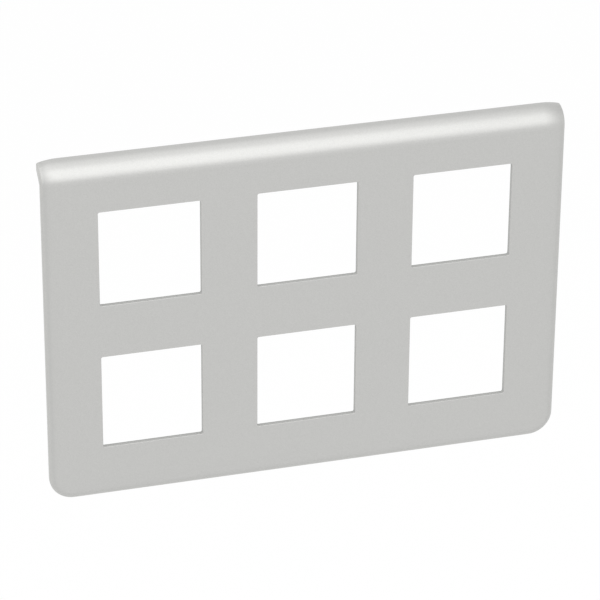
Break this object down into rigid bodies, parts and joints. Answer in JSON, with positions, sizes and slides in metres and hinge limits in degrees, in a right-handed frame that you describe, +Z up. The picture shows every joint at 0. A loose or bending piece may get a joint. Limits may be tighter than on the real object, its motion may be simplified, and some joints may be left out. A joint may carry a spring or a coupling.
{
  "type": "switch plate",
  "caption": "Clip-on cover plate for flush wiring devices in a wall, with square openings in a flat face and a top edge rolled back to the wall, in satin aluminium-coloured plastic.",
  "frame": {"origin": "middle of the block of device openings, on the wall plane that the seat rim and the rolled top edge stand on", "axes": "+X to the right along the plate, +Y back into the wall, +Z up; the flat front faces -Y"},
  "size_m": [0.2366, 0.0093, 0.1652],
  "materials": {
    "satin_aluminium_lacquer": "moulded thermoplastic with a satin aluminium-coloured lacquer"
  },
  "bodies": {
    "root": {"cover_plate": "satin_aluminium_lacquer"}
  },
  "joints": []
}
